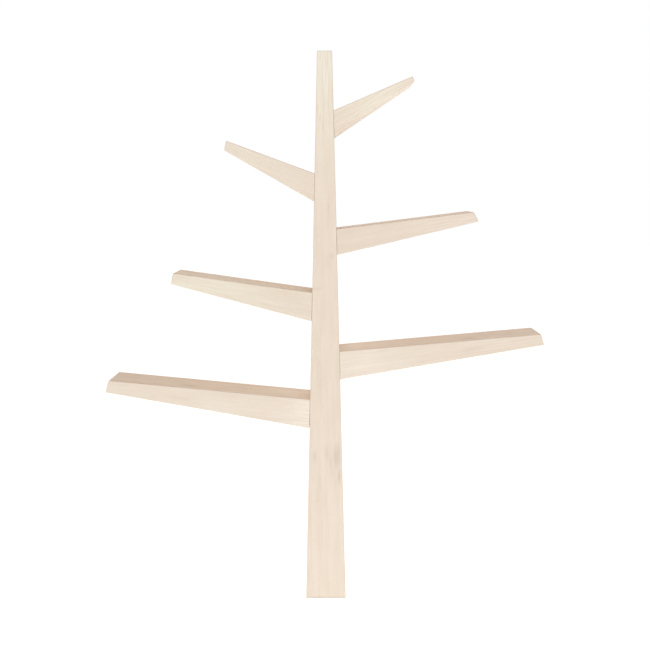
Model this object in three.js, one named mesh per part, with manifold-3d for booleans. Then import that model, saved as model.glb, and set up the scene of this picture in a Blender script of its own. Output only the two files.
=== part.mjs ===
// A bookshelf shaped like a tree: a tapered trunk stands on the floor and carries three
// tapered branches on each side, which hold the books. The trunk and the branches are boxes of
// mitred maple boards, and each branch is bolted on from the far side of the trunk.
// Millimetres. +Z is up and -Y is the front. The origin is the middle of the trunk's foot.

import * as THREE from "three";
import { ConvexGeometry } from "three/addons/geometries/ConvexGeometry.js";
import { mergeVertices } from "three/addons/utils/BufferGeometryUtils.js";
import Module from "manifold-3d";

const wasm = await Module();
wasm.setup();

// Overall sizes
const TREE_HEIGHT = 1720;
const TREE_SPREAD = 1380;
const TREE_DEPTH = 240;
const TRUNK_FOOT_WIDTH = 126;
const TRUNK_TOP_WIDTH = 46.5;
const ROOT_HEIGHT = 88;
const TIP_HEIGHT = 34;

// Boards and the gaps between them
const TRUNK_BOARD = 18;
const BRANCH_BOARD = 12;
const EASED_EDGE = 1.5;
const GLUE_LINE = 0.3;
const CORNER_SLACK = 0.001;

// The boards of a branch stand off the trunk by a shadow gap that opens downwards
const SHADOW_GAP_TOP = 0.3;
const SHADOW_GAP_BOTTOM = 1.2;

// Solid blocks inside the boxes
const ROOT_BLOCK_LENGTH = 72;
const BASE_BLOCK_HEIGHT = 90;
const CORE_MARGIN = 24;

// Connecting bolts
const BOLT_RADIUS = 4;
const BOLT_HEAD_RADIUS = 6.5;
const BOLT_HEAD_HEIGHT = 7.5;
const BOLT_SOCKET_RADIUS = 3.4;
const BOLT_SOCKET_DEPTH = 4;
const BOLT_END_CHAMFER = 1.2;
const BOLT_GRIP = 46;
const BOLT_RECESS = 10;
const BOLT_CLEARANCE = 0.4;

// Keyhole hanger that holds the trunk to a wall screw, let into the back
const HANGER_WIDTH = 24;
const HANGER_HEIGHT = 84;
const HANGER_THICKNESS = 2;
const HANGER_CORNER = 5;
const HANGER_CLEARANCE = 0.3;
const KEYHOLE_RADIUS = 5;
const KEYHOLE_SLOT_RADIUS = 2.6;
const KEYHOLE_DROP = 8;
const KEYHOLE_RISE = 8;
const POCKET_MARGIN = 1.5;
const POCKET_DEPTH = 8;
const SCREW_SPREAD = 62;
const SCREW_HEAD_RADIUS = 3.8;
const SCREW_HEAD_HEIGHT = 2.2;
const SCREW_RADIUS = 1.9;
const SCREW_LENGTH = 14;
const SCREW_POINT = 4;
const SCREW_CLEARANCE = 0.3;

// How far a cutting tool runs past the face that it starts from
const TOOL_OVERRUN = 5;

const ROUND_SIDES = 16;
const HEXAGON_SIDES = 6;

// Each branch: its side, -1 to the left and 1 to the right, the height of its seat as a share of
// the tree's height, its reach as a share of half the spread, the climb of its top for each unit
// outwards, its heights at root and tip as shares of the common ones, and how far the foot of
// its tip stands out, as a share of the tip.
const branchShares = {
  low_left: {
    side: -1, seatShare: 0.3161, reachShare: 1.003, climbShare: 0.0962,
    rootShare: 1.0465, tipShare: 1.115, rakeShare: 0.276,
  },
  low_right: {
    side: 1, seatShare: 0.4062, reachShare: 0.993, climbShare: 0.0845,
    rootShare: 1.0057, tipShare: 1.014, rakeShare: 0.266,
  },
  mid_left: {
    side: -1, seatShare: 0.5127, reachShare: 0.6995, climbShare: 0.1419,
    rootShare: 1.0265, tipShare: 1.015, rakeShare: 0.205,
  },
  mid_right: {
    side: 1, seatShare: 0.6332, reachShare: 0.6935, climbShare: 0.1217,
    rootShare: 0.923, tipShare: 0.865, rakeShare: 0.533,
  },
  high_left: {
    side: -1, seatShare: 0.7301, reachShare: 0.4525, climbShare: 0.3713,
    rootShare: 0.99, tipShare: 0.8735, rakeShare: 0.203,
  },
  high_right: {
    side: 1, seatShare: 0.8477, reachShare: 0.4028, climbShare: 0.4245,
    rootShare: 0.8966, tipShare: 0.485, rakeShare: 0.35,
  },
};

// Each core block of the trunk backs the roots of two branches
const coreBranches = {
  trunk_lower_core: ["low_left", "low_right"],
  trunk_middle_core: ["mid_left", "mid_right"],
  trunk_upper_core: ["high_left", "high_right"],
};

// The distance between the two bolts of a branch, as a share of the tree's depth
const boltSpreadShare = 0.58;

// The keyhole hanger's height on the trunk, as a share of the tree's height
const hangerShare = 0.945;

function maple() {
  return new THREE.MeshStandardMaterial({ color: 0xeadac6, roughness: 0.55, metalness: 0 });
}

function steel() {
  return new THREE.MeshStandardMaterial({ color: 0xb9bcc0, roughness: 0.35, metalness: 1 });
}

function namedMesh(name, geometry, material) {
  const mesh = new THREE.Mesh(geometry, material);
  mesh.name = name;
  return mesh;
}

// Solids that cut each other

function toManifold(geometry) {
  const bare = geometry.clone();
  bare.deleteAttribute("normal");
  bare.deleteAttribute("uv");
  const merged = mergeVertices(bare, CORNER_SLACK);
  const vertProperties = merged.attributes.position.array;
  const triVerts = new Uint32Array(merged.index.array);
  return new wasm.Manifold(new wasm.Mesh({ numProp: 3, vertProperties, triVerts }));
}

function toGeometry(manifold) {
  const { vertProperties, triVerts } = manifold.getMesh();
  const geometry = new THREE.BufferGeometry();
  geometry.setAttribute("position", new THREE.BufferAttribute(vertProperties, 3));
  geometry.setIndex(new THREE.BufferAttribute(triVerts, 1));
  geometry.computeVertexNormals();
  return geometry;
}

function cutAway(geometry, tools) {
  const left = tools.reduce((solid, tool) => solid.subtract(toManifold(tool)), toManifold(geometry));
  return toGeometry(left);
}

// Planes: every board and block is the space behind a set of planes that face out of it

function movedIn(plane, distance) {
  return new THREE.Plane(plane.normal.clone(), plane.constant + distance);
}

function turnedRound(plane) {
  return plane.clone().negate();
}

// The plane square to the front through two points of a profile, facing away from a point inside.
function profilePlane(a, b, inside) {
  const deep = new THREE.Vector3(b.x, b.y + TREE_DEPTH, b.z);
  const plane = new THREE.Plane().setFromCoplanarPoints(a, b, deep);
  return plane.distanceToPoint(inside) > 0 ? turnedRound(plane) : plane;
}

// The mitre between two faces, seen from the board of the first one, less half a glue line.
function mitrePlane(own, other) {
  const normal = new THREE.Vector3().subVectors(other.normal, own.normal);
  const length = normal.length();
  const middle = (other.constant - own.constant) / length;
  return new THREE.Plane(normal.divideScalar(length), middle + GLUE_LINE / 2);
}

// The flat that eases the arris between two faces, or nothing where the faces turn away from
// each other, so that their unit normals nearly cancel.
function easedPlane(own, other) {
  const normal = new THREE.Vector3().addVectors(other.normal, own.normal);
  const length = normal.length();
  if (length < 1) return [];
  const cut = EASED_EDGE * Math.sqrt(1 - (length * length) / 4);
  const arris = (other.constant + own.constant) / length;
  return [new THREE.Plane(normal.divideScalar(length), arris + cut)];
}

function meetingPoint(p, q, r) {
  const system = new THREE.Matrix3();
  system.set(...p.normal.toArray(), ...q.normal.toArray(), ...r.normal.toArray());
  if (Math.abs(system.determinant()) < Number.EPSILON) return null;
  return new THREE.Vector3(-p.constant, -q.constant, -r.constant).applyMatrix3(system.invert());
}

function spaceBehind(planes) {
  const corners = [];
  planes.forEach((p, i) =>
    planes.slice(i + 1).forEach((q, j) =>
      planes.slice(i + j + 2).forEach((r) => {
        const point = meetingPoint(p, q, r);
        if (!point || planes.some((plane) => plane.distanceToPoint(point) > CORNER_SLACK)) return;
        if (corners.some((corner) => corner.distanceTo(point) < CORNER_SLACK)) return;
        corners.push(point);
      }),
    ),
  );
  return new ConvexGeometry(corners);
}

// A board of a box: behind its own face, one thickness deep, mitred to the boards of all the
// other faces, cut at the box's open end and eased along its arrises. The trunk's foot is eased
// too, and the root ends of the branches stay crisp, for a fine joint.
function boxBoard(box, name) {
  const own = box.faces[name];
  const others = Object.values(box.faces).filter((face) => face !== own);
  const arrises = box.easedFoot ? [...others, box.openEnd] : others;
  return spaceBehind([
    own,
    turnedRound(movedIn(own, box.board)),
    ...others.map((other) => mitrePlane(own, other)),
    box.openEnd,
    ...arrises.flatMap((other) => easedPlane(own, other)),
  ]);
}

// A solid block that fills a box between two end planes.
function boxBlock(box, ends) {
  const linings = Object.values(box.faces).map((face) => movedIn(face, box.board + GLUE_LINE));
  return spaceBehind([...linings, ...ends]);
}

// Trunk

function trunkHalfWidth(height) {
  return THREE.MathUtils.lerp(TRUNK_FOOT_WIDTH, TRUNK_TOP_WIDTH, height / TREE_HEIGHT) / 2;
}

function levelPlane(height, facing) {
  return new THREE.Plane(new THREE.Vector3(0, 0, facing), -facing * height);
}

function frontPlane() {
  return new THREE.Plane(new THREE.Vector3(0, -1, 0), -TREE_DEPTH / 2);
}

function backPlane() {
  return new THREE.Plane(new THREE.Vector3(0, 1, 0), -TREE_DEPTH / 2);
}

function trunkSidePlane(side) {
  const foot = new THREE.Vector3((side * TRUNK_FOOT_WIDTH) / 2, 0, 0);
  const top = new THREE.Vector3((side * TRUNK_TOP_WIDTH) / 2, 0, TREE_HEIGHT);
  return profilePlane(foot, top, new THREE.Vector3());
}

const trunkBox = {
  board: TRUNK_BOARD,
  faces: {
    front: frontPlane(),
    back: backPlane(),
    left: trunkSidePlane(-1),
    right: trunkSidePlane(1),
    top: levelPlane(TREE_HEIGHT, 1),
  },
  openEnd: levelPlane(0, -1),
  easedFoot: true,
};

function coreEnds(names) {
  const branches = names.map((name) => branchSizes(branchShares[name]));
  const low = Math.min(...branches.map((branch) => branch.seat)) - CORE_MARGIN;
  const high = Math.max(...branches.map((branch) => branch.seat + branch.rootHeight)) + CORE_MARGIN;
  return [levelPlane(low, -1), levelPlane(high, 1)];
}

// Branches: each is drawn in its own frame, whose origin is the foot of its seat on the trunk

function branchSizes(shares) {
  const seat = shares.seatShare * TREE_HEIGHT;
  const rootHeight = shares.rootShare * ROOT_HEIGHT;
  const out = trunkHalfWidth(seat);
  const lean = trunkHalfWidth(seat + rootHeight) - out;
  const reach = (shares.reachShare * TREE_SPREAD) / 2 - out;
  const tipHeight = shares.tipShare * TIP_HEIGHT;
  const tipTopReach = reach - shares.rakeShare * tipHeight;
  const tipTop = rootHeight + shares.climbShare * (tipTopReach - lean);
  return { side: shares.side, seat, rootHeight, out, lean, reach, tipHeight, tipTopReach, tipTop };
}

function branchBox(sizes) {
  const at = (out, up) => new THREE.Vector3(sizes.side * out, 0, up);
  const rootTop = at(sizes.lean, sizes.rootHeight);
  const rootFoot = at(0, 0);
  const tipTop = at(sizes.tipTopReach, sizes.tipTop);
  const tipFoot = at(sizes.reach, sizes.tipTop - sizes.tipHeight);
  const inside = at(sizes.reach / 2, (sizes.rootHeight + sizes.tipTop - sizes.tipHeight) / 2);
  const gapTop = at(sizes.lean + SHADOW_GAP_TOP, sizes.rootHeight);
  const gapFoot = at(SHADOW_GAP_BOTTOM, 0);
  return {
    board: BRANCH_BOARD,
    faces: {
      top: profilePlane(rootTop, tipTop, inside),
      underside: profilePlane(rootFoot, tipFoot, inside),
      tip: profilePlane(tipTop, tipFoot, inside),
      front: frontPlane(),
      back: backPlane(),
    },
    openEnd: profilePlane(gapFoot, gapTop, inside),
    seat: profilePlane(rootFoot, rootTop, inside),
  };
}

// The height of a slanting face above a branch's origin, some way out from the trunk.
function faceHeight(face, side, out) {
  return (-face.constant - face.normal.x * side * out) / face.normal.z;
}

// The bolts run level, midway between the top of the root block at the trunk and its underside
// where the bolts end.
function boltHeight(sizes, box) {
  const lining = box.board + GLUE_LINE;
  const top = faceHeight(movedIn(box.faces.top, lining), sizes.side, sizes.lean);
  const foot = faceHeight(movedIn(box.faces.underside, lining), sizes.side, BOLT_GRIP);
  return sizes.seat + (top + foot) / 2;
}

// Bolts: drawn along +Y from the seat of the head, then laid level, pointing at their branch

function boltOutline(length, spare, headStart) {
  const radius = BOLT_RADIUS + spare;
  const headRadius = BOLT_HEAD_RADIUS + spare;
  const end = length + spare;
  return [
    new THREE.Vector2(0, -headStart),
    new THREE.Vector2(headRadius, -headStart),
    new THREE.Vector2(headRadius, spare),
    new THREE.Vector2(radius, spare),
    new THREE.Vector2(radius, end - BOLT_END_CHAMFER),
    new THREE.Vector2(radius - BOLT_END_CHAMFER, end),
    new THREE.Vector2(0, end),
  ];
}

function laidTowards(geometry, side) {
  return geometry.rotateZ((-side * Math.PI) / 2);
}

function boltLength(halfWidth) {
  return 2 * halfWidth - BOLT_RECESS + BOLT_GRIP;
}

function boltGeometry(side, halfWidth) {
  const outline = boltOutline(boltLength(halfWidth), 0, BOLT_HEAD_HEIGHT);
  const body = new THREE.LatheGeometry(outline, ROUND_SIDES);
  const depth = BOLT_SOCKET_DEPTH + TOOL_OVERRUN;
  const socket = new THREE.CylinderGeometry(BOLT_SOCKET_RADIUS, BOLT_SOCKET_RADIUS, depth, HEXAGON_SIDES);
  socket.translate(0, BOLT_SOCKET_DEPTH - BOLT_HEAD_HEIGHT - depth / 2, 0);
  return laidTowards(cutAway(body, [socket]), side);
}

// The hole that takes a bolt, from outside the far board to past the bolt's end.
function boltHole(side, halfWidth) {
  const outline = boltOutline(boltLength(halfWidth), BOLT_CLEARANCE, BOLT_RECESS + TOOL_OVERRUN);
  return laidTowards(new THREE.LatheGeometry(outline, ROUND_SIDES), side);
}

function boltPlaces(branch) {
  const height = boltHeight(branch.sizes, branch.box);
  const halfWidth = trunkHalfWidth(height);
  const start = branch.sizes.side * (BOLT_RECESS - halfWidth);
  return [-1, 1].map((way) => ({
    halfWidth,
    position: new THREE.Vector3(start, (way * boltSpreadShare * TREE_DEPTH) / 2, height),
  }));
}

function boltHoles(branch) {
  return boltPlaces(branch).map(({ halfWidth, position }) => {
    return boltHole(branch.sizes.side, halfWidth).translate(position.x, position.y, position.z);
  });
}

// Keyhole hanger, its pocket and its screws: drawn with the outer face at y = 0, going in along -Y

function roundedOutline(width, height, corner) {
  const x = width / 2 - corner;
  const y = height / 2 - corner;
  const shape = new THREE.Shape();
  shape.absarc(x, y, corner, 0, Math.PI / 2);
  shape.absarc(-x, y, corner, Math.PI / 2, Math.PI);
  shape.absarc(-x, -y, corner, Math.PI, 1.5 * Math.PI);
  shape.absarc(x, -y, corner, 1.5 * Math.PI, 2 * Math.PI);
  return shape;
}

function letIn(shape, depth) {
  const options = { depth, bevelEnabled: false, curveSegments: ROUND_SIDES / 4 };
  return new THREE.ExtrudeGeometry(shape, options).rotateX(Math.PI / 2);
}

// The cutting tool for a pocket of some depth, which starts clear of the outer face.
function pocket(shape, depth) {
  return letIn(shape, depth + TOOL_OVERRUN).translate(0, TOOL_OVERRUN, 0);
}

// A round entry below, with a narrow slot above it that catches the wall screw's head.
function keyholeOutline(spare) {
  const entry = KEYHOLE_RADIUS + spare;
  const slot = KEYHOLE_SLOT_RADIUS + spare;
  const meet = Math.asin(slot / entry);
  const shape = new THREE.Shape();
  shape.absarc(0, KEYHOLE_RISE, slot, 0, Math.PI);
  shape.absarc(0, -KEYHOLE_DROP, entry, Math.PI / 2 + meet, 2.5 * Math.PI - meet);
  return shape;
}

function screwOutline(spare, overrun) {
  const radius = SCREW_RADIUS + spare;
  const headRadius = SCREW_HEAD_RADIUS + spare;
  return [
    new THREE.Vector2(0, -SCREW_LENGTH - spare),
    new THREE.Vector2(radius, SCREW_POINT - SCREW_LENGTH - spare),
    new THREE.Vector2(radius, -SCREW_HEAD_HEIGHT),
    new THREE.Vector2(headRadius, 0),
    ...(overrun ? [new THREE.Vector2(headRadius, overrun)] : []),
    new THREE.Vector2(0, overrun),
  ];
}

function screwPlaces() {
  return [-1, 1].map((way) => (way * SCREW_SPREAD) / 2);
}

function screwHoles() {
  const outline = screwOutline(SCREW_CLEARANCE, TOOL_OVERRUN);
  return screwPlaces().map((up) => new THREE.LatheGeometry(outline, ROUND_SIDES).translate(0, 0, up));
}

function hangerGeometry() {
  const hanger = letIn(roundedOutline(HANGER_WIDTH, HANGER_HEIGHT, HANGER_CORNER), HANGER_THICKNESS);
  const keyhole = pocket(keyholeOutline(0), HANGER_THICKNESS + TOOL_OVERRUN);
  return cutAway(hanger, [keyhole, ...screwHoles()]);
}

function hangerPockets() {
  const spare = HANGER_CLEARANCE;
  const width = HANGER_WIDTH + 2 * spare;
  const height = HANGER_HEIGHT + 2 * spare;
  const seat = pocket(roundedOutline(width, height, HANGER_CORNER + spare), HANGER_THICKNESS + spare);
  const deep = pocket(keyholeOutline(POCKET_MARGIN), POCKET_DEPTH);
  const up = hangerShare * TREE_HEIGHT;
  return [seat, deep, ...screwHoles()].map((tool) => tool.translate(0, TREE_DEPTH / 2, up));
}

// Assemblies

function makeBranch(name) {
  const sizes = branchSizes(branchShares[name]);
  const box = branchBox(sizes);
  const group = new THREE.Group();
  group.position.set(sizes.side * sizes.out, 0, sizes.seat);
  return { name, sizes, box, group };
}

function addBranchBoards(branch) {
  for (const face of Object.keys(branch.box.faces)) {
    branch.group.add(namedMesh(`${branch.name}_${face}_board`, boxBoard(branch.box, face), maple()));
  }
}

function addRootBlock(branch) {
  const { seat } = branch.box;
  const { x, z } = branch.group.position;
  const ends = [movedIn(seat, GLUE_LINE), turnedRound(movedIn(seat, ROOT_BLOCK_LENGTH))];
  const block = boxBlock(branch.box, ends);
  const holes = boltHoles(branch).map((hole) => hole.translate(-x, 0, -z));
  branch.group.add(namedMesh(`${branch.name}_root_block`, cutAway(block, holes), maple()));
}

function makeBolts(branch) {
  const ends = ["front", "back"];
  return boltPlaces(branch).map(({ halfWidth, position }, i) => {
    const geometry = boltGeometry(branch.sizes.side, halfWidth);
    const bolt = namedMesh(`${branch.name}_${ends[i]}_bolt`, geometry, steel());
    bolt.position.copy(position);
    return bolt;
  });
}

function makeTrunk(branches) {
  const trunk = new THREE.Group();
  const holes = branches.flatMap(boltHoles);
  const board = (face, tools) => {
    const whole = boxBoard(trunkBox, face);
    const geometry = tools.length ? cutAway(whole, tools) : whole;
    trunk.add(namedMesh(`trunk_${face}_board`, geometry, maple()));
  };
  board("front", []);
  board("back", hangerPockets());
  board("left", holes);
  board("right", holes);
  board("top", []);
  for (const [name, names] of Object.entries(coreBranches)) {
    trunk.add(namedMesh(name, cutAway(boxBlock(trunkBox, coreEnds(names)), holes), maple()));
  }
  const baseEnds = [levelPlane(0, -1), levelPlane(BASE_BLOCK_HEIGHT, 1)];
  trunk.add(namedMesh("trunk_base_block", boxBlock(trunkBox, baseEnds), maple()));
  return trunk;
}

function makeWallHanger() {
  const group = new THREE.Group();
  group.position.set(0, TREE_DEPTH / 2, hangerShare * TREE_HEIGHT);
  group.add(namedMesh("keyhole_hanger", hangerGeometry(), steel()));
  const ends = ["lower", "upper"];
  screwPlaces().forEach((up, i) => {
    const screw = new THREE.LatheGeometry(screwOutline(0, 0), ROUND_SIDES);
    const mesh = namedMesh(`${ends[i]}_hanger_screw`, screw, steel());
    mesh.position.z = up;
    group.add(mesh);
  });
  return group;
}

function makeTree() {
  const tree = new THREE.Group();
  const branches = Object.keys(branchShares).map(makeBranch);
  tree.add(makeTrunk(branches));
  tree.add(makeWallHanger());
  for (const branch of branches) {
    addBranchBoards(branch);
    addRootBlock(branch);
    tree.add(branch.group);
    tree.add(...makeBolts(branch));
  }
  return tree;
}

export default makeTree();
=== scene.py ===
import math

import bmesh
import bpy
from mathutils import Euler, Matrix, Vector


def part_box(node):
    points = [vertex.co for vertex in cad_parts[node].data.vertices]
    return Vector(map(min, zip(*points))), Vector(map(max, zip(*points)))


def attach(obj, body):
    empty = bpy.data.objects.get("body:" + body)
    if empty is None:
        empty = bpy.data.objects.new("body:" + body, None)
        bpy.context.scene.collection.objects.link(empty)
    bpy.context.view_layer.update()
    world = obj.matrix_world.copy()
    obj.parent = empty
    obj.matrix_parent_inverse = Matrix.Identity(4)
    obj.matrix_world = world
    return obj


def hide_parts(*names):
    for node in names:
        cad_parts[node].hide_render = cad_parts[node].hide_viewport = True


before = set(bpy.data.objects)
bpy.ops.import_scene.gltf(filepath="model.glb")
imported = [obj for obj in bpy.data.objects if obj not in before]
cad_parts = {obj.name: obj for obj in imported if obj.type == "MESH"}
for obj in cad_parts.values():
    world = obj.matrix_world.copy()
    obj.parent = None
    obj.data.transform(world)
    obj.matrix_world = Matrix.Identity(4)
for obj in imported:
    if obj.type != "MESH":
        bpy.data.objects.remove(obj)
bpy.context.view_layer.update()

# The trunk's boards
# Five boards of pale maple make a tall box that tapers towards the top and stands open at its
# foot. They are mitred and glued along every arris, drilled for the bolts of the branches, and
# the arrises are sanded to a soft round before the clear matt lacquer goes on.
tree_height = 1.72
half_depth = 0.12
foot_half_width = 0.063
top_half_width = 0.02325
trunk_thickness = 0.018
glue_line = 0.0001
sanding = 0.0015
round_over = 0.0009
hair = 0.00001
lacquer_sheen = 0.12

maple_pale = (0.948, 0.902, 0.853)
maple_deep = (0.903, 0.841, 0.777)
maple_ring = (0.835, 0.735, 0.640)
maple_fleck = (0.80, 0.69, 0.58)
# Mineral streaks; the same colour gives the painted shade along the trunk's foot
mineral_and_painted_shade = (0.62, 0.53, 0.455)
maple_sapwood = (0.968, 0.952, 0.893)
# Pale butt wood; the same colour gives the painted light at the trunk's foot and the low roots
butt_wood_and_painted_light = (0.982, 0.938, 0.893)
band_strength = 0.42
figure_strength = 0.36
ring_strength = 0.26
pore_strength = 0.2
fleck_strength = 0.26
arris_darkening = 0.3


def face(point, outward):
    """A flat face of the tree: the way it looks, and how far out that way it lies."""
    direction = Vector(outward).normalized()
    return direction, direction.dot(Vector(point))


def edge_on_face(low, high, inside):
    """The face square to the front through two points of a profile, looking away from a third."""
    along = Vector((high[0] - low[0], 0, high[1] - low[1]))
    outward = along.cross(Vector((0, 1, 0)))
    if outward.dot(Vector((inside[0] - low[0], 0, inside[1] - low[1]))) > 0:
        outward.negate()
    return face((low[0], 0, low[1]), outward)


def saw(direction, level):
    """Cuts off what lies beyond a plane and closes the cut."""
    bpy.ops.mesh.select_all(action="SELECT")
    bpy.ops.mesh.bisect(
        plane_co=direction * level, plane_no=direction, use_fill=True, clear_outer=True
    )


def mitre(own, other):
    apart = other[0] - own[0]
    saw(apart.normalized(), (other[1] - own[1]) / apart.length - glue_line / 2)


def ease(own, other):
    """Planes off the sharp arris between two faces, unless they look away from each other."""
    both = own[0] + other[0]
    if both.length < 1:
        return
    depth = sanding * math.sqrt(1 - both.length_squared / 4)
    saw(both.normalized(), (own[1] + other[1]) / both.length - depth)


def lies_in(flat, edge):
    """Whether an edge lies in a flat face, or no more than a hair off it."""
    return all(abs(flat[0].dot(corner.co) - flat[1]) < hair for corner in edge.verts)


def round_edges(piece, wanted, width, steps):
    """Rounds the edges that answer to a rule, in so many steps."""
    bpy.ops.mesh.select_all(action="DESELECT")
    bpy.ops.mesh.select_mode(type="EDGE")
    drawn = bmesh.from_edit_mesh(piece.data)
    for edge in drawn.edges:
        edge.select_set(bool(wanted(edge)))
    bmesh.update_edit_mesh(piece.data)
    bpy.ops.mesh.bevel(
        offset_type="OFFSET", offset=width, segments=steps, affect="EDGES", clamp_overlap=True
    )


def sand_rim(board, own, crisp_end):
    """Rounds the rim of the outer face into the planed arrises. One end can stay crisp."""

    def on_rim(edge):
        return lies_in(own, edge) and not (crisp_end and lies_in(crisp_end, edge))

    round_edges(board, on_rim, round_over, 3)


def take_up(piece):
    """Makes a piece the only one chosen, and the one that is worked on."""
    bpy.ops.object.select_all(action="DESELECT")
    bpy.context.view_layer.objects.active = piece
    piece.select_set(True)


def even_shading(piece, limit=35):
    """Smooths the rounds and keeps the flats flat. The limit between them is in degrees."""
    take_up(piece)
    bpy.ops.object.shade_smooth_by_angle(angle=math.radians(limit))
    weighted = piece.modifiers.new("even_shading", "WEIGHTED_NORMAL")
    weighted.weight = 100
    weighted.keep_sharp = True
    bpy.ops.object.modifier_apply(modifier=weighted.name)


def mark_arrises(board, own):
    """Marks the rounds, which the finish makes darker and a little glossier. They lean away from
    the outer face, by less than the mitres do."""
    half_turned, all_but_flat = 0.5, 0.9995
    mark = board.data.attributes.new("arris", "FLOAT", "FACE")
    for polygon in board.data.polygons:
        lean = polygon.normal.dot(own[0])
        mark.data[polygon.index].value = 1.0 if half_turned < lean < all_but_flat else 0.0


def board_lie(own, along):
    """How a board lies: its length, its width and its outer face as the three columns."""
    along = Vector(along).normalized()
    return Matrix((along, own[0].cross(along), own[0])).transposed()


def joined_board(name, own, others, open_end, middle, along, size, crisp_end=None):
    """A board sawn to length, mitred to its neighbours and eased. Its size is the length, width
    and thickness of the stock it is cut from."""
    bpy.ops.object.select_all(action="DESELECT")
    centre = Vector(middle) - own[0] * size[2] / 2
    turn = board_lie(own, along).to_euler()
    bpy.ops.mesh.primitive_cube_add(size=1, location=centre, rotation=turn, scale=size)
    board = bpy.context.object
    board.name = name
    board.data.name = name
    bpy.ops.object.transform_apply(location=True, rotation=True, scale=True)
    bpy.ops.object.mode_set(mode="EDIT")
    for other in others:
        mitre(own, other)
    saw(*open_end)
    for other in others if crisp_end else [*others, open_end]:
        ease(own, other)
    sand_rim(board, own, crisp_end)
    bpy.ops.mesh.select_all(action="SELECT")
    bpy.ops.mesh.normals_make_consistent(inside=False)
    bpy.ops.object.mode_set(mode="OBJECT")
    return board


def tone(colour, tint=(1, 1, 1)):
    """A colour written as it shows on a screen, from 0 to 1, as the light that a shader takes."""
    shown = [c * t for c, t in zip(colour, tint)]
    return [c / 12.92 if c <= 0.04045 else ((c + 0.055) / 1.055) ** 2.4 for c in shown] + [1]


def put(tree, kind, inputs=None, **settings):
    """Adds a node; inputs gives its sockets their values or what feeds them."""
    made = tree.nodes.new(kind)
    for key, value in settings.items():
        setattr(made, key, value)
    for key, value in (inputs or {}).items():
        if isinstance(value, bpy.types.NodeSocket):
            tree.links.new(value, made.inputs[key])
        else:
            made.inputs[key].default_value = value
    return made


def ramp(tree, source, *stops):
    """Bends a share between 0 and 1 along straight stops of (where, how much)."""
    made = put(tree, "ShaderNodeValToRGB", {"Fac": source})
    elements = made.color_ramp.elements
    while len(elements) < len(stops):
        elements.new(0.5)
    for element, (where, much) in zip(elements, stops):
        element.position = where
        element.color = (much, much, much, 1)
    return made.outputs["Color"]


def stretched_noise(tree, log, stretch, detail, rough):
    """Cloudy marks drawn out along the log; stretch counts them to the metre, along and across."""
    count = (stretch[0], stretch[1], stretch[1])
    spread = put(tree, "ShaderNodeVectorMath", {0: log, 1: count}, operation="MULTIPLY")
    made = put(
        tree,
        "ShaderNodeTexNoise",
        {"Vector": spread.outputs[0], "Scale": 1.0, "Detail": detail, "Roughness": rough},
    )
    return made.outputs["Fac"]


def times(tree, a, b):
    return put(tree, "ShaderNodeMath", {0: a, 1: b}, operation="MULTIPLY").outputs[0]


def stain(tree, share, under, over):
    """Lays one colour over another where the share says."""
    made = put(tree, "ShaderNodeMix", data_type="RGBA")
    for number, value in ((0, share), (6, under), (7, over)):
        if isinstance(value, bpy.types.NodeSocket):
            tree.links.new(value, made.inputs[number])
        else:
            made.inputs[number].default_value = value
    return made.outputs[2]


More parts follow.
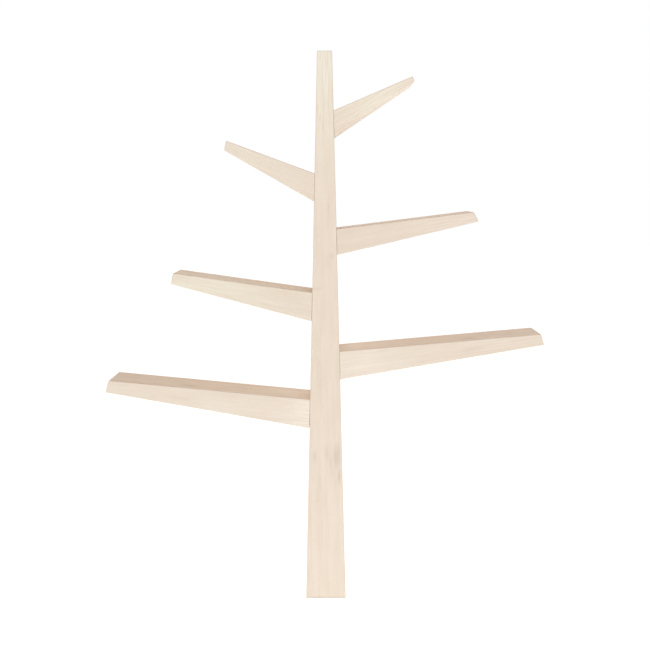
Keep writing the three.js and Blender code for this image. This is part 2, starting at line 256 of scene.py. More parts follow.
def maple(
    name, middle, lie, heart, sweep, step,
    streaks=(), tint=(1, 1, 1), grain=1.0, sheen=lacquer_sheen,
):
    """Sawn maple under a clear matt lacquer. heart is how far the pith lies behind the face and
    to the side, sweep how the log leans off the board in degrees, and step where along the log it
    was cut. Each streak is a centre, a length, a width, a strength and a colour; some streaks are
    patches of painted light and painted shade."""
    finish = bpy.data.materials.new(name)
    finish.use_nodes = True
    tree = finish.node_tree
    shader = tree.nodes["Principled BSDF"]
    log_lie = lie @ Euler((0, math.radians(sweep[0]), math.radians(sweep[1]))).to_matrix()
    pith = Vector(middle) + lie @ Vector((-step, heart[1], -heart[0]))
    place = put(tree, "ShaderNodeTexCoord").outputs["Object"]
    log = put(
        tree,
        "ShaderNodeMapping",
        {"Vector": place, "Location": pith, "Rotation": log_lie.to_euler()},
        vector_type="TEXTURE",
    ).outputs[0]

    fibre = stretched_noise(tree, log, (16, 850), 3, 0.6)
    bands = stretched_noise(tree, log, (2.6, 75), 3, 0.55)
    clouds = stretched_noise(tree, log, (1.6, 9), 2, 0.5)
    flecks = ramp(tree, stretched_noise(tree, log, (70, 620), 2, 0.5), (0.63, 0), (0.74, 1))
    drawn_in = put(tree, "ShaderNodeVectorMath", {0: log, 1: (0.1, 1, 1)}, operation="MULTIPLY")
    growth = put(
        tree,
        "ShaderNodeTexWave",
        {
            "Vector": drawn_in.outputs[0],
            "Scale": 58.0,
            "Distortion": 9.0,
            "Detail": 3.0,
            "Detail Scale": 0.35,
            "Detail Roughness": 0.55,
        },
        wave_type="RINGS",
        rings_direction="X",
        wave_profile="SAW",
    ).outputs["Fac"]
    rings = ramp(tree, growth, (0.0, 0.1), (0.55, 0.0), (0.9, 0.65), (0.97, 1.0), (1.0, 0.2))
    rings = times(tree, rings, ramp(tree, clouds, (0.38, 0.12), (0.66, 1.0)))
    figure = stretched_noise(tree, log, (9, 34), 2, 0.5)

    pale, deep, ring = (tone(wood, tint) for wood in (maple_pale, maple_deep, maple_ring))
    banding = ramp(tree, bands, (0.3, 0.0), (0.72, min(1, band_strength * grain)))
    colour = stain(tree, banding, pale, deep)
    figuring = ramp(tree, figure, (0.34, 0.0), (0.66, min(1, figure_strength * grain)))
    colour = stain(tree, figuring, colour, deep)
    colour = stain(tree, times(tree, rings, ring_strength * grain), colour, ring)
    pores = ramp(tree, fibre, (0.35, 0), (0.8, 1))
    colour = stain(tree, times(tree, pores, pore_strength * grain), colour, ring)
    colour = stain(tree, times(tree, flecks, fleck_strength), colour, tone(maple_fleck, tint))
    for centre, length, width, strength, patch_colour in streaks:
        offset = log_lie.transposed() @ (Vector(centre) - pith)
        away = put(tree, "ShaderNodeVectorMath", {0: log, 1: offset}, operation="SUBTRACT")
        away = put(
            tree,
            "ShaderNodeVectorMath",
            {0: away.outputs[0], 1: (1 / length, 1 / width, 1 / width)},
            operation="MULTIPLY",
        )
        far = put(tree, "ShaderNodeVectorMath", {0: away.outputs[0]}, operation="LENGTH")
        near = ramp(tree, far.outputs["Value"], (0.15, 1.0), (1.0, 0.0))
        threads = stretched_noise(tree, log, (9, 260), 3, 0.6)
        threads = ramp(tree, threads, (0.36, 0.15), (0.62, 1.0))
        share = times(tree, times(tree, near, threads), strength)
        colour = stain(tree, share, colour, tone(patch_colour, tint))
    # The marked rounds are darkened and made a little glossier
    arris = put(tree, "ShaderNodeAttribute", attribute_name="arris").outputs["Fac"]
    colour = stain(tree, times(tree, arris, arris_darkening), colour, deep)
    tree.links.new(colour, shader.inputs["Base Color"])

    gloss = put(
        tree,
        "ShaderNodeMapRange",
        {"Value": bands, "From Min": 0.3, "From Max": 0.7, "To Min": 0.58, "To Max": 0.68},
    ).outputs[0]
    polish = times(tree, arris, 0.08)
    gloss = put(tree, "ShaderNodeMath", {0: gloss, 1: polish}, operation="SUBTRACT").outputs[0]
    tree.links.new(gloss, shader.inputs["Roughness"])
    shader.inputs["Specular IOR Level"].default_value = sheen
    raised, sunk = times(tree, fibre, 0.8), times(tree, rings, 0.5)
    relief = put(tree, "ShaderNodeMath", {0: raised, 1: sunk}, operation="SUBTRACT")
    bump = put(
        tree,
        "ShaderNodeBump",
        {"Height": relief.outputs[0], "Strength": 0.16, "Distance": 0.0003},
    )
    tree.links.new(bump.outputs[0], shader.inputs["Normal"])
    return finish


def fit_board(board, own, finish, node):
    mark_arrises(board, own)
    even_shading(board)
    board.data.materials.clear()
    board.data.materials.append(finish)
    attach(board, "root")
    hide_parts(node)


front = face((0, -half_depth, 0), (0, -1, 0))
back = face((0, half_depth, 0), (0, 1, 0))
left = edge_on_face((-foot_half_width, 0), (-top_half_width, tree_height), (0, 0.5))
right = edge_on_face((foot_half_width, 0), (top_half_width, tree_height), (0, 0.5))
crown = face((0, 0, tree_height), (0, 0, 1))
foot = face((0, 0, 0), (0, 0, -1))
half_way = (foot_half_width + top_half_width) / 2
half_height = tree_height / 2
taper = foot_half_width - top_half_width
up = (0, 0, 1)

# Each board: its outer face, its middle and the way it runs, the length and width of its stock,
# the pith behind and beside it, the sweep of its log, and where along the log it was cut
trunk_boards = {
    "front": (
        front, (0, -half_depth, half_height), up,
        (1.8, 0.16), (0.085, 0.012), (0.55, 0.35), 3.1,
    ),
    "back": (
        back, (0, half_depth, half_height), up,
        (1.8, 0.16), (0.06, -0.02), (-0.6, 0.2), 8.4,
    ),
    "left": (
        left, (-half_way, 0, half_height), (taper, 0, tree_height),
        (1.8, 0.28), (0.09, 0.05), (0.5, 0.5), 12.7,
    ),
    "right": (
        right, (half_way, 0, half_height), (-taper, 0, tree_height),
        (1.8, 0.28), (0.07, -0.04), (-0.7, 0.3), 17.3,
    ),
    "top": (
        crown, (0, 0, tree_height), (0, 1, 0),
        (0.28, 0.08), (0.05, 0.01), (1.5, 0.8), 21.9,
    ),
}

# Streaks of other wood, and at the foot a painted light and a painted shade: centre, length,
# width, strength and colour
trunk_streaks = {
    "front": (
        ((0.0, -half_depth, 1.70), 0.42, 0.30, 0.85, maple_sapwood),
        # Painted light: the foot is painted paler, as light from the floor makes it
        ((0.0, -half_depth, 0.04), 0.42, 0.30, 0.2, butt_wood_and_painted_light),
        ((0.0, -half_depth, 0.92), 0.55, 0.30, 0.35, maple_deep),
        # Painted shade: a thin dark line along the very foot, where shade falls next to the floor
        ((0.0, -half_depth, 0.0), 0.007, 0.30, 0.28, mineral_and_painted_shade),
        ((0.036, -half_depth, 0.455), 0.050, 0.014, 0.32, mineral_and_painted_shade),
        ((0.043, -half_depth, 0.392), 0.032, 0.006, 0.35, mineral_and_painted_shade),
        ((-0.034, -half_depth, 0.455), 0.030, 0.012, 0.18, mineral_and_painted_shade),
        ((0.004, -half_depth, 0.470), 0.034, 0.012, 0.2, mineral_and_painted_shade),
        ((0.016, -half_depth, 0.440), 0.060, 0.022, 0.12, mineral_and_painted_shade),
        ((-0.022, -half_depth, 1.545), 0.020, 0.004, 0.4, maple_ring),
        ((-0.014, -half_depth, 1.515), 0.020, 0.004, 0.4, maple_ring),
        ((-0.005, -half_depth, 1.485), 0.020, 0.005, 0.4, maple_ring),
        ((0.012, -half_depth, 1.235), 0.030, 0.004, 0.35, maple_ring),
        ((0.025, -half_depth, 1.185), 0.030, 0.004, 0.35, maple_ring),
        ((0.020, -half_depth, 1.085), 0.016, 0.016, 0.3, maple_ring),
        ((-0.030, -half_depth, 0.985), 0.012, 0.026, 0.35, maple_ring),
    ),
}
trunk_faces = [front, back, left, right, crown]

# Each bolt runs level through both side boards, and its head sits in a counterbore on the far side
bore_radius = 0.0044
counterbore_radius = 0.0069
counterbore_floor = 0.0079
bit_overrun = 0.004
bore_rim = 0.0004
upright_wall = 0.2

# The hanger's pocket in the back board, with a deeper one for the head of the wall screw
hanger_low, hanger_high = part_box("keyhole_hanger")
hanger_middle = (hanger_low + hanger_high) / 2
hanger_corner = 0.005
hanger_clearance = 0.0003
keyhole_radius = 0.005
slot_radius = 0.0026
slot_end_share = 0.998
keyhole_drop = 0.008
keyhole_rise = 0.008
head_room = 0.0015
head_pocket_depth = 0.008
screw_spread = 0.062
pilot_radius = 0.0022
pilot_depth = 0.0143
pocket_rim = 0.0003


def cut(piece, tool):
    """Cuts the tool's shape out of a piece, as a bit or a router does, and puts the tool away."""
    take_up(piece)
    cutting = piece.modifiers.new("cut", "BOOLEAN")
    cutting.operation = "DIFFERENCE"
    cutting.solver = "EXACT"
    cutting.object = tool
    bpy.ops.object.modifier_apply(modifier=cutting.name)
    bpy.data.objects.remove(tool)


def bit(radius, start, end, sides=32):
    """A round bit that reaches from one point to another."""
    reach = Vector(end) - Vector(start)
    turn = reach.to_track_quat("Z", "Y").to_euler()
    middle = (Vector(start) + Vector(end)) / 2
    bpy.ops.object.select_all(action="DESELECT")
    bpy.ops.mesh.primitive_cylinder_add(
        vertices=sides, radius=radius, depth=reach.length, location=middle, rotation=turn
    )
    bpy.ops.object.transform_apply(location=True, rotation=True, scale=True)
    return bpy.context.object


def runs_front_to_back(edge):
    way = edge.verts[1].co - edge.verts[0].co
    return abs(way.x) < hair and abs(way.z) < hair


def rounded_slab(low, high, corner):
    """A slab with round corners as seen from behind, between two corners of its box."""
    bpy.ops.object.select_all(action="DESELECT")
    bpy.ops.mesh.primitive_cube_add(size=1, location=(low + high) / 2, scale=high - low)
    bpy.ops.object.transform_apply(location=True, rotation=True, scale=True)
    slab = bpy.context.object
    bpy.ops.object.mode_set(mode="EDIT")
    round_edges(slab, runs_front_to_back, corner, 8)
    bpy.ops.object.mode_set(mode="OBJECT")
    return slab


def cut_keyhole(piece, spare, start, end):
    """Cuts a round entry and a narrow slot above it, from one depth to another."""
    x, z = hanger_middle.x, hanger_middle.z
    entry = z - keyhole_drop
    half_slot = slot_radius + spare
    low = Vector((x - half_slot, start, entry))
    high = Vector((x + half_slot, end, z + keyhole_rise + half_slot))
    cut(piece, rounded_slab(low, high, half_slot * slot_end_share))
    cut(piece, bit(keyhole_radius + spare, (x, start, entry), (x, end, entry)))


def soften_openings(board, own, width):
    """Takes the sharpness off the rims of bores and pockets in the outer face."""

    def at_opening(edge):
        walls = [side for side in edge.link_faces if abs(side.normal.dot(own[0])) < upright_wall]
        return lies_in(own, edge) and len(walls) == 1

    bpy.ops.object.mode_set(mode="EDIT")
    round_edges(board, at_opening, width, 2)
    bpy.ops.object.mode_set(mode="OBJECT")


def bore_for_bolts(board, side):
    for node in [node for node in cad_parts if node.endswith("_bolt")]:
        low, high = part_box(node)
        middle = (low + high) / 2
        way = -1 if "_left_" in node else 1
        reach = foot_half_width + bit_overrun
        ends = [(x, middle.y, middle.z) for x in (side * bit_overrun, side * reach)]
        cut(board, bit(bore_radius, *ends))
        if way != side:
            floor_of_bore = (low.x if way > 0 else high.x) + way * counterbore_floor
            cut(board, bit(counterbore_radius, (floor_of_bore, *ends[1][1:]), ends[1]))
    soften_openings(board, left if side < 0 else right, bore_rim)


def pocket_for_hanger(board):
    spare = Vector((hanger_clearance, hanger_clearance, hanger_clearance))
    past = Vector((0, bit_overrun, 0))
    corner = hanger_corner + hanger_clearance
    cut(board, rounded_slab(hanger_low - spare, hanger_high + spare + past, corner))
    cut_keyhole(board, head_room, half_depth - head_pocket_depth, half_depth + bit_overrun)
    for way in (-1, 1):
        height = hanger_middle.z + way * screw_spread / 2
        start = (0, half_depth + bit_overrun, height)
        cut(board, bit(pilot_radius, start, (0, half_depth - pilot_depth, height)))
    soften_openings(board, back, pocket_rim)


for name, (own, middle, along, size, heart, sweep, step) in trunk_boards.items():
    others = [other for other in trunk_faces if other is not own]
    size = (*size, trunk_thickness)
    board = joined_board(f"trunk_{name}", own, others, foot, middle, along, size)
    if name in ("left", "right"):
        bore_for_bolts(board, -1 if name == "left" else 1)
    if name == "back":
        pocket_for_hanger(board)
    lie = board_lie(own, along)
    streaks = trunk_streaks.get(name, ())
    finish = maple(f"trunk_{name}_maple", middle, lie, heart, sweep, step, streaks)
    fit_board(board, own, finish, f"trunk_{name}_board")

# The branches
# Six tapering boxes of the same maple, three on each side, which carry the books. Each has five
# mitred boards round a block that is bolted to the trunk. Between boards and trunk is a shadow
# gap, wider at the foot than at the top, and a little different on each branch.
branch_thickness = 0.012
gap_top = 0.0001
spare_length = 0.08

# Tops are painted deeper in colour, a painted shade, and have a stronger grain; one underside
# is painted paler than the others, a painted light from below
top_painted_shade = (1.000, 0.972, 0.942)
plain_tint = (1.0, 1.0, 1.0)
painted_underside_light = {"high_right_underside": (1.045, 1.060, 1.085)}
grain_of_part = {"top": 2.4, "underside": 0.8}
usual_grain = 1.2

# Where along their logs the boards were cut, and how the logs sweep
first_cut = 30
branch_to_branch = 5.3
board_to_board = 1.1
first_sweep = (0.9, 0.4)
added_sweep = (-0.35, 0.1)

# The corners of each branch as its front shows them: how far out from the middle, and how high
branches = {
    "low_left": {
        "side": -1, "tint": (1.003, 1.007, 1.011), "gap_foot": 0.0009,
        "root_foot": (0.05044, 0.54369), "root_top": (0.04831, 0.63578),
        "tip_top": (0.68161, 0.69671), "tip_foot": (0.69207, 0.65880),
    },
    "low_right": {
        "side": 1, "tint": (1.004, 1.008, 1.012), "gap_foot": 0.0004,
        "root_foot": (0.04685, 0.69866), "root_top": (0.04481, 0.78717),
        "tip_top": (0.67600, 0.84050), "tip_foot": (0.68517, 0.80603),
    },
    "mid_left": {
        "side": -1, "tint": (1.001, 1.012, 1.010), "gap_foot": 0.00065,
        "root_foot": (0.04262, 0.88184), "root_top": (0.04053, 0.97218),
        "tip_top": (0.47558, 1.03391), "tip_foot": (0.48266, 0.99940),
    },
    "mid_right": {
        "side": 1, "tint": (0.993, 0.992, 0.993), "gap_foot": 0.00055,
        "root_foot": (0.03783, 1.08910), "root_top": (0.03595, 1.17033),
        "tip_top": (0.46284, 1.22228), "tip_foot": (0.47851, 1.19287),
    },
    "high_left": {
        "side": -1, "tint": (1.001, 1.002, 1.003), "gap_foot": 0.0002,
        "root_foot": (0.03398, 1.25577), "root_top": (0.03197, 1.34289),
        "tip_top": (0.30620, 1.44471), "tip_foot": (0.31223, 1.41501),
    },
    "high_right": {
        "side": 1, "tint": (1.005, 1.002, 0.999), "gap_foot": 0.0005,
        "root_foot": (0.02930, 1.45804), "root_top": (0.02748, 1.53694),
        "tip_top": (0.27216, 1.64081), "tip_foot": (0.27793, 1.62432),
    },
}
# Streaks of other wood; the pale patches at the roots of the low branches are painted light
branch_streaks = {
    "low_left_top": (
        ((-0.430, -0.06, 0.673), 0.040, 0.035, 0.4, mineral_and_painted_shade),
        # Painted light: the root end is painted paler, lifting the shade the trunk casts there
        ((-0.060, 0.0, 0.637), 0.220, 0.200, 0.8, butt_wood_and_painted_light),
        ((-0.045, 0.0, 0.635), 0.115, 0.200, 1.0, butt_wood_and_painted_light),
    ),
    "low_left_front": (
        ((-0.460, -half_depth, 0.640), 0.045, 0.010, 0.15, mineral_and_painted_shade),
        # Painted light: the root end is painted paler, lifting the shade the trunk casts there
        ((-0.060, -half_depth, 0.590), 0.130, 0.100, 0.8, butt_wood_and_painted_light),
        ((-0.300, -half_depth, 0.610), 0.200, 0.030, 0.4, butt_wood_and_painted_light),
    ),
    "low_right_top": (
        ((0.455, -0.06, 0.823), 0.035, 0.035, 0.35, mineral_and_painted_shade),
        # Painted light: the root end is painted paler, lifting the shade the trunk casts there
        ((0.060, 0.0, 0.788), 0.220, 0.200, 0.8, butt_wood_and_painted_light),
        ((0.045, 0.0, 0.787), 0.140, 0.200, 1.0, butt_wood_and_painted_light),
    ),
    "low_right_front": (
        ((0.455, -half_depth, 0.790), 0.050, 0.016, 0.12, mineral_and_painted_shade),
        # Painted light: the root end is painted paler, lifting the shade the trunk casts there
        ((0.080, -half_depth, 0.745), 0.220, 0.090, 0.5, butt_wood_and_painted_light),
    ),
    "mid_left_front": (((-0.400, -half_depth, 1.000), 0.260, 0.070, 0.45, maple_sapwood),),
    "mid_right_front": (((0.420, -half_depth, 1.200), 0.260, 0.070, 0.6, butt_wood_and_painted_light),),
    "high_left_front": (((-0.220, -half_depth, 1.390), 0.240, 0.090, 0.35, maple_sapwood),),
    "high_right_front": (((0.17, -half_depth, 1.575), 0.20, 0.14, 0.8, maple_sapwood),),
}

for place, (branch, sizes) in enumerate(branches.items()):
    side = sizes["side"]
    root_foot, root_top, tip_top, tip_foot = (
        Vector((side * sizes[corner][0], sizes[corner][1]))
        for corner in ("root_foot", "root_top", "tip_top", "tip_foot")
    )
    inside = (root_foot + root_top + tip_top + tip_foot) / 4
    top = edge_on_face(root_top, tip_top, inside)
    underside = edge_on_face(root_foot, tip_foot, inside)
    tip = edge_on_face(tip_foot, tip_top, inside)
    seat = edge_on_face(
        root_foot + Vector((side * sizes["gap_foot"], 0)),
        root_top + Vector((side * gap_top, 0)),
        inside,
    )
    faces = [top, underside, tip, front, back]
    along_top = tip_top - root_top
    along_foot = tip_foot - root_foot
    along_middle = along_top + along_foot
    middle_top = (root_top + tip_top) / 2
    middle_foot = (root_foot + tip_foot) / 2
    middle_tip = (tip_top + tip_foot) / 2
    length = along_foot.length + spare_length
    # Each board: its outer face, its middle and how deep that lies, the way it runs, the length
    # and width of its stock, and the pith behind and beside it
    boards = {
        "top": (top, middle_top, 0, along_top, (length, 0.28), (0.07, 0.03)),
        "underside": (underside, middle_foot, 0, along_foot, (length, 0.28), (0.09, -0.04)),
        "tip": (tip, middle_tip, 0, None, (0.28, 0.09), (0.05, 0.01)),
        "front": (front, inside, -half_depth, along_middle, (length, 0.30), (0.08, 0.01)),
        "back": (back, inside, half_depth, along_middle, (length, 0.30), (0.06, -0.015)),
    }
    for part, (own, middle, depth, along, size, heart) in boards.items():
        others = [other for other in faces if other is not own]
        middle = Vector((middle[0], depth, middle[1]))
        along = Vector((along[0], 0, along[1])) * side if along else Vector((0, 1, 0))
        name = f"{branch}_{part}"
        size = (*size, branch_thickness)
        board = joined_board(name, own, others, seat, middle, along, size, seat)
        lie = board_lie(own, along)
        step = first_cut + branch_to_branch * place + board_to_board * list(boards).index(part)
        sweep = [first + added * place for first, added in zip(first_sweep, added_sweep)]
        streaks = branch_streaks.get(name, ())
        # Painted light: a painted shade on the tops, and a painted light on the high right
        # underside
        painted_light_tint = top_painted_shade if part == "top" else painted_underside_light.get(name, plain_tint)
        tint = [a * b for a, b in zip(sizes["tint"], painted_light_tint)]
        grain = grain_of_part.get(part, usual_grain)
        sheen = 0 if part == "underside" else lacquer_sheen
        finish = maple(
            f"{name}_maple", middle, lie, heart, sweep, step, streaks, tint, grain, sheen
        )
        fit_board(board, own, finish, f"{name}_board")

# The blocks inside the boxes
# Solid blocks stiffen the boxes where the bolts pull: one fills the trunk's foot, three back the
# branches inside the trunk, and one fills the root of each branch. They are glued in.
block_heart = (0.05, 0.01)
block_sweep = (1.2, 0.8)
block_tint = (0.96, 0.95, 0.92)
first_block_cut = 70
block_to_block = 2.7
trunk_blocks = ["trunk_base_block", "trunk_lower_core", "trunk_middle_core", "trunk_upper_core"]
root_blocks = [f"{branch}_root_block" for branch in branches]

for place, name in enumerate(trunk_blocks + root_blocks):
    low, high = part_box(name)
    upright = face((0, low.y, 0), (0, -1, 0))
    along = (1, 0, 0) if name.endswith("root_block") else (0, 0, 1)
    lie = board_lie(upright, along)
    middle = Vector(((low.x + high.x) / 2, low.y, (low.z + high.z) / 2))
    step = first_block_cut + block_to_block * place
    finish = maple(f"{name}_wood", middle, lie, block_heart, block_sweep, step, tint=block_tint)
    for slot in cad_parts[name].material_slots:
        slot.material = finish

# The bolts
# Two zinc plated bolts with a socket head draw each branch to the trunk from its far side. The
# head is knurled and takes a hexagon key, and the thread bites into the block in the branch.
bolt_radius = 0.004
bolt_head_radius = 0.0065
bolt_head_height = 0.0075
bolt_head_chamfer = 0.0006
bolt_neck = 0.0003
socket_radius = 0.0034
socket_depth = 0.004
bolt_end_chamfer = 0.0012
bolt_pitch = 0.00125
bolt_thread_depth = 0.0007
bolt_thread_turns = 24
plain_shank = 0.048
bolt_sides = 48
knurl_depth = 0.00018
knurl_edge = 0.0001
head_top_share = 0.9
stretch_from = 0.02
end_on = 0.9

zinc_bright = (0.82, 0.83, 0.85)
zinc_dull = (0.64, 0.66, 0.68)
zinc_smudge = (0.50, 0.51, 0.53)


def zinc(name):
    """Bright zinc plating, faintly crystalline, with duller clouds and a few smudges."""
    finish = bpy.data.materials.new(name)
    finish.use_nodes = True
    tree = finish.node_tree
    shader = tree.nodes["Principled BSDF"]
    place = put(tree, "ShaderNodeTexCoord").outputs["Object"]
    spangle = put(tree, "ShaderNodeTexVoronoi", {"Vector": place, "Scale": 900.0})
    clouds = put(
        tree,
        "ShaderNodeTexNoise",
        {"Vector": place, "Scale": 350.0, "Detail": 4.0, "Roughness": 0.6},
    ).outputs["Fac"]
    smudges = put(
        tree,
        "ShaderNodeTexNoise",
        {"Vector": place, "Scale": 90.0, "Detail": 5.0, "Roughness": 0.7},
    ).outputs["Fac"]
    dulling = ramp(tree, clouds, (0.3, 0), (0.7, 1))
    colour = stain(tree, dulling, tone(zinc_bright), tone(zinc_dull))
    colour = stain(tree, ramp(tree, smudges, (0.58, 0), (0.75, 0.6)), colour, tone(zinc_smudge))
    tree.links.new(colour, shader.inputs["Base Color"])
    gloss = put(
        tree,
        "ShaderNodeMapRange",
        {"Value": clouds, "From Min": 0.3, "From Max": 0.7, "To Min": 0.28, "To Max": 0.46},
    ).outputs[0]
    tree.links.new(gloss, shader.inputs["Roughness"])
    shader.inputs["Metallic"].default_value = 1.0
    height = spangle.outputs["Distance"]
    bump = put(tree, "ShaderNodeBump", {"Height": height, "Strength": 0.15, "Distance": 0.0002})
    tree.links.new(bump.outputs[0], shader.inputs["Normal"])
    return finish


def pick_faces(piece, wanted):
    """Selects the faces that answer to a rule on their number and the way they look."""
    bpy.ops.mesh.select_all(action="DESELECT")
    bpy.ops.mesh.select_mode(type="FACE")
    drawn = bmesh.from_edit_mesh(piece.data)
    drawn.normal_update()
    for number, side in enumerate(drawn.faces):
        side.select_set(bool(wanted(number, side.normal)))
    bmesh.update_edit_mesh(piece.data)


def draw_out(start, distance, narrowing=1.0):
    """Draws the selected end out along X and narrows it about the axis. Says where it now lies."""
    bpy.ops.mesh.extrude_region_move(TRANSFORM_OT_translate={"value": (distance, 0, 0)})
    if narrowing != 1.0:
        bpy.ops.transform.resize(
            value=(1, narrowing, narrowing), center_override=(start + distance, 0, 0)
        )
    return start + distance


def wind_thread(start, radius, depth, pitch, turns, steps=6):
    """Draws the selected end out in short steps. It lies off the axis by half the thread's depth
    and circles round it once for each turn, which leaves a right-handed thread."""
    off = depth / 2
    end = draw_out(start, depth, (radius - off) / radius)
    bpy.ops.transform.translate(value=(0, off, 0))
    for step in range(turns * steps):
        now, then = (2 * math.pi * n / steps for n in (step, step + 1))
        aside = off * (math.cos(then) - math.cos(now))
        upwards = off * (math.sin(then) - math.sin(now))
        shift = (pitch / steps, aside, upwards)
        bpy.ops.mesh.extrude_region_move(TRANSFORM_OT_translate={"value": shift})
    bpy.ops.transform.translate(value=(0, -off, 0))
    return end + turns * pitch


def close_up(piece):
    """Ends the work on a turned piece: faces outwards, out of edit mode."""
    bpy.ops.mesh.select_all(action="SELECT")
    bpy.ops.mesh.normals_make_consistent(inside=False)
    bpy.ops.object.mode_set(mode="OBJECT")


def fit_hardware(piece, place, turn, finish, node):
    """Sets a piece of hardware in its place, for good."""
    even_shading(piece, limit=40)
    piece.location = place
    piece.rotation_euler = turn
    bpy.ops.object.transform_apply(location=True, rotation=True, scale=True)
    piece.data.materials.clear()
    piece.data.materials.append(finish)
    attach(piece, "root")
    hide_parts(node)


def another(piece, name):
    made = bpy.data.objects.new(name, piece.data.copy())
    made.data.name = name
    bpy.context.scene.collection.objects.link(made)
    return made


# The bolt is made once, with its head's seat at the origin and its shank along X
bpy.ops.object.select_all(action="DESELECT")
bpy.ops.mesh.primitive_cylinder_add(
    vertices=bolt_sides,
    radius=bolt_head_radius,
    depth=bolt_head_height - bolt_head_chamfer,
    location=((bolt_head_chamfer - bolt_head_height) / 2, 0, 0),
    rotation=(0, math.pi / 2, 0),
)
first_bolt = bpy.context.object
bpy.ops.object.transform_apply(location=True, rotation=True, scale=True)
bpy.ops.object.mode_set(mode="EDIT")
pick_faces(first_bolt, lambda number, way: abs(way.x) < end_on and number % 2)
bpy.ops.mesh.inset(thickness=knurl_edge, use_individual=True)
bpy.ops.transform.shrink_fatten(value=-knurl_depth)
pick_faces(first_bolt, lambda number, way: way.x < -end_on)
draw_out(bolt_head_chamfer - bolt_head_height, -bolt_head_chamfer, head_top_share)
pick_faces(first_bolt, lambda number, way: way.x > end_on)
bpy.ops.mesh.inset(thickness=bolt_head_radius - bolt_radius - bolt_neck)
bolt_end = draw_out(0, bolt_neck, bolt_radius / (bolt_radius + bolt_neck))
bolt_end = draw_out(bolt_end, plain_shank - bolt_neck)
bolt_end = wind_thread(bolt_end, bolt_radius, bolt_thread_depth, bolt_pitch, bolt_thread_turns)
bolt_end = draw_out(bolt_end, bolt_end_chamfer, 1 - bolt_end_chamfer / bolt_radius)
close_up(first_bolt)
socket_mouth = (-bolt_head_height - bit_overrun, 0, 0)
socket_floor = (socket_depth - bolt_head_height, 0, 0)
cut(first_bolt, bit(socket_radius, socket_mouth, socket_floor, sides=6))

bolt_zinc = zinc("bolt_zinc")
for branch, sizes in branches.items():
    for end in ("front", "back"):
        side = sizes["side"]
        low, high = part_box(f"{branch}_{end}_bolt")
        seat_of_head = (low.x if side > 0 else high.x) + side * bolt_head_height
        bolt = another(first_bolt, f"{branch}_{end}_socket_bolt")
        # The shank is drawn out until the bolt has the length that this joint needs
        take_up(bolt)
        bpy.ops.object.mode_set(mode="EDIT")
        bpy.ops.mesh.select_all(action="DESELECT")
        bpy.ops.mesh.select_mode(type="VERT")
        drawn = bmesh.from_edit_mesh(bolt.data)
        for corner in drawn.verts:
            corner.select_set(corner.co.x > stretch_from)
        bmesh.update_edit_mesh(bolt.data)
        bpy.ops.transform.translate(value=(high.x - low.x - bolt_head_height - bolt_end, 0, 0))
        bpy.ops.object.mode_set(mode="OBJECT")
        place = (seat_of_head, (low.y + high.y) / 2, (low.z + high.z) / 2)
        turn = (0, 0, 0 if side > 0 else math.pi)
        fit_hardware(bolt, place, turn, bolt_zinc, f"{branch}_{end}_bolt")
bpy.data.objects.remove(first_bolt)

# The keyhole hanger
# A pressed steel plate with a keyhole, let in flush with the trunk's back near the top. It drops
# over the head of a wall screw and keeps the tree from tipping forward.
screw_radius = 0.0019
screw_head_radius = 0.0038
screw_head_height = 0.0022
screw_sides = 32
countersink_overrun = 0.001
keyhole_reach = 0.01
rolled_edge = 0.00025
rim_turn = 0.7


def at_rim(edge):
    """Whether an edge goes round the plate or one of its openings, at the back."""
    return lies_in(back, edge) and len(edge.link_faces) == 2 and edge.calc_face_angle() > rim_turn


hanger = rounded_slab(hanger_low, hanger_high, hanger_corner)
hanger.name = "hanger_plate"
hanger.data.name = hanger.name
cut_keyhole(hanger, 0, half_depth - keyhole_reach, half_depth + bit_overrun)
widening = (screw_head_radius - screw_radius) / screw_head_height
for way in (-1, 1):
    bpy.ops.object.select_all(action="DESELECT")
    bpy.ops.mesh.primitive_cone_add(
        vertices=screw_sides,
        radius1=screw_radius + hanger_clearance,
        radius2=screw_head_radius + hanger_clearance + countersink_overrun * widening,
        depth=screw_head_height + countersink_overrun,
        location=(
            0,
            half_depth + (countersink_overrun - screw_head_height) / 2,
            hanger_middle.z + way * screw_spread / 2,
        ),
        rotation=(-math.pi / 2, 0, 0),
    )
    bpy.ops.object.transform_apply(location=True, rotation=True, scale=True)
    cut(hanger, bpy.context.object)
take_up(hanger)
bpy.ops.object.mode_set(mode="EDIT")
round_edges(hanger, at_rim, rolled_edge, 2)
bpy.ops.object.mode_set(mode="OBJECT")
hanger_zinc = zinc("hanger_zinc")
fit_hardware(hanger, (0, 0, 0), (0, 0, 0), hanger_zinc, "keyhole_hanger")

# The hanger's screws
# Two countersunk wood screws with a cross recess hold the plate in its pocket. They sit above and
# below the keyhole, and were driven home to different angles.
screw_length = 0.014
screw_point = 0.004
screw_thread_depth = 0.0006
screw_thread_turns = 4
screw_point_share = 0.08
recess_width = 0.0009
recess_reach = 0.0019
recess_depth = 0.0013
recess_narrowing = 0.55

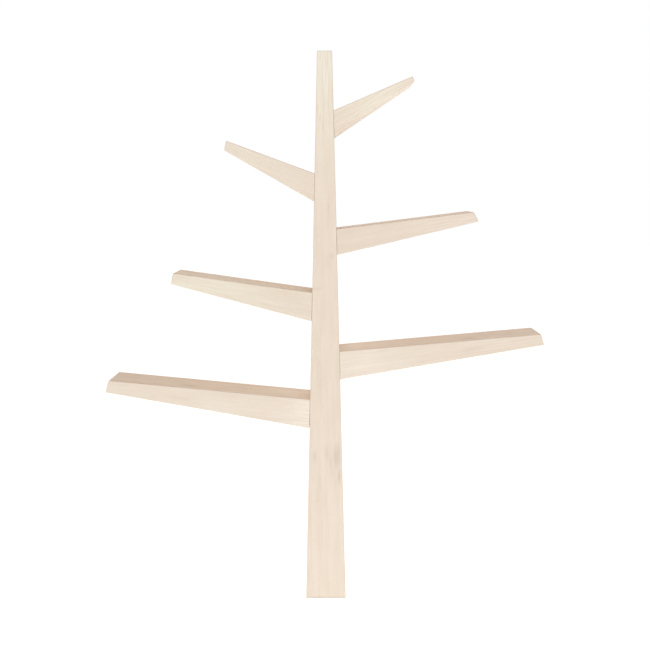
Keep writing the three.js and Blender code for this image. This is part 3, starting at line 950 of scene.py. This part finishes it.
bpy.ops.object.select_all(action="DESELECT")
bpy.ops.mesh.primitive_cone_add(
    vertices=screw_sides,
    radius1=screw_head_radius,
    radius2=screw_radius,
    depth=screw_head_height,
    location=(screw_head_height / 2, 0, 0),
    rotation=(0, math.pi / 2, 0),
)
first_screw = bpy.context.object
bpy.ops.object.transform_apply(location=True, rotation=True, scale=True)
bpy.ops.object.mode_set(mode="EDIT")
pick_faces(first_screw, lambda number, way: way.x > end_on)
thread_length = screw_length - screw_head_height - screw_thread_depth - screw_point
screw_pitch = thread_length / screw_thread_turns
screw_end = wind_thread(
    screw_head_height, screw_radius, screw_thread_depth, screw_pitch, screw_thread_turns
)
draw_out(screw_end, screw_point, screw_point_share)
close_up(first_screw)
for turn in (0, math.pi / 2):
    bpy.ops.object.select_all(action="DESELECT")
    bpy.ops.mesh.primitive_cube_add(
        size=2,
        location=(0, 0, 0),
        rotation=(turn, 0, 0),
        scale=(recess_depth, recess_reach, recess_width / 2),
    )
    bpy.ops.object.transform_apply(location=True, rotation=True, scale=True)
    cross = bpy.context.object
    bpy.ops.object.mode_set(mode="EDIT")
    pick_faces(cross, lambda number, way: way.x > end_on)
    bpy.ops.transform.resize(
        value=(1, recess_narrowing, recess_narrowing), center_override=(recess_depth, 0, 0)
    )
    bpy.ops.object.mode_set(mode="OBJECT")
    cut(first_screw, cross)
for name, way, driven in (("lower", -1, 0.5), ("upper", 1, 1.1)):
    screw = another(first_screw, f"{name}_wood_screw")
    place = (0, half_depth, hanger_middle.z + way * screw_spread / 2)
    turn = (Euler((0, 0, -math.pi / 2)).to_matrix() @ Euler((driven, 0, 0)).to_matrix()).to_euler()
    fit_hardware(screw, place, turn, hanger_zinc, f"{name}_hanger_screw")
bpy.data.objects.remove(first_screw)

# The studio
# A white sweep of paper, one softbox in front and one behind, both above the tree, and a wide
# reflector on the floor. The room itself gives a warm, even light.
floor_size = 60
floor_drop = 0.0005
paper_grey = (0.88, 0.88, 0.88, 1)
paper_glow = 0.72
pure_white = (1, 1, 1, 1)
room_colour = (0.985, 0.90, 0.83, 1)
room_light = 0.495
cool = (0.91, 0.96, 0.98)
pale = (0.95, 1.0, 1.0)

bpy.ops.object.select_all(action="DESELECT")
bpy.ops.mesh.primitive_plane_add(size=floor_size, location=(0, 0, -floor_drop))
floor = bpy.context.object
floor.name = "floor"


def seen_or_lit(tree, shown, lit):
    """One shader for what the camera and shiny surfaces see, another for the light it gives."""
    rays = put(tree, "ShaderNodeLightPath").outputs
    seen = rays["Is Camera Ray"]
    for kind in ("Is Glossy Ray", "Is Transmission Ray"):
        either = put(tree, "ShaderNodeMath", {0: seen, 1: rays[kind]}, operation="MAXIMUM")
        seen = either.outputs[0]
    return put(tree, "ShaderNodeMixShader", {0: seen, 1: lit, 2: shown}).outputs[0]


paper = bpy.data.materials.new("floor_paper")
paper.use_nodes = True
tree = paper.node_tree
tree.nodes.remove(tree.nodes["Principled BSDF"])
matt = put(tree, "ShaderNodeBsdfDiffuse", {"Color": paper_grey}).outputs[0]
glow = put(tree, "ShaderNodeEmission", {"Color": pure_white, "Strength": paper_glow}).outputs[0]
lifted = put(tree, "ShaderNodeAddShader", {0: matt, 1: glow}).outputs[0]
tree.links.new(seen_or_lit(tree, lifted, matt), tree.nodes["Material Output"].inputs["Surface"])
floor.data.materials.append(paper)

world = bpy.data.worlds.new("studio")
bpy.context.scene.world = world
world.use_nodes = True
tree = world.node_tree
tree.nodes.remove(tree.nodes["Background"])
white = put(tree, "ShaderNodeBackground", {"Color": pure_white, "Strength": 1.0}).outputs[0]
soft = put(tree, "ShaderNodeBackground", {"Color": room_colour, "Strength": room_light}).outputs[0]
tree.links.new(seen_or_lit(tree, white, soft), tree.nodes["World Output"].inputs["Surface"])


def softbox(name, place, target, size, power, colour):
    """A soft rectangular light that the camera doesn't see. Its power is in watts."""
    lamp = bpy.data.lights.new(name, "AREA")
    lamp.shape = "RECTANGLE"
    lamp.size, lamp.size_y = size
    lamp.energy = power
    lamp.color = colour
    holder = bpy.data.objects.new(name, lamp)
    bpy.context.scene.collection.objects.link(holder)
    holder.location = place
    holder.rotation_euler = (Vector(target) - Vector(place)).to_track_quat("-Z", "Y").to_euler()
    holder.visible_camera = False


aim_of_lamps = (0, 0, 1.3)
softbox(
    "front_softbox",
    place=(0, -4.4, 2.8), target=aim_of_lamps, size=(5.0, 3.0), power=68, colour=cool,
)
softbox(
    "back_softbox",
    place=(0, 4.4, 2.8), target=aim_of_lamps, size=(5.0, 3.0), power=54, colour=cool,
)
softbox(
    "floor_reflector",
    place=(0, 0, 0.001), target=(0, 0, 1), size=(12.0, 12.0), power=295, colour=pale,
)

# The camera
# It stands five metres in front of the tree, above its middle and a touch to the right, and looks
# slightly down. Its place, turn and lens were fitted to the corners of trunk and branches.
camera_place = (0.0241, -4.9742, 1.2889)
sensor_width = 36
frame_pixels = 650
lens_pixels = 1556.4
pan = math.radians(0.2932)
tip_down = math.radians(4.9245)
roll = math.radians(-0.1469)
forward = Vector(
    (-math.sin(pan) * math.cos(tip_down), math.cos(pan) * math.cos(tip_down), -math.sin(tip_down))
)
level = forward.cross(Vector((0, 0, 1))).normalized()
over = level.cross(forward)
across = level * math.cos(roll) + over * math.sin(roll)
upward = over * math.cos(roll) - level * math.sin(roll)
camera_data = bpy.data.cameras.new("camera")
camera_data.sensor_width = sensor_width
camera_data.lens = sensor_width * lens_pixels / frame_pixels
camera = bpy.data.objects.new("camera", camera_data)
bpy.context.scene.collection.objects.link(camera)
turned = Matrix((across, upward, -forward)).transposed().to_4x4()
camera.matrix_world = Matrix.Translation(camera_place) @ turned
bpy.context.scene.camera = camera
bpy.context.scene.view_settings.view_transform = "Standard"
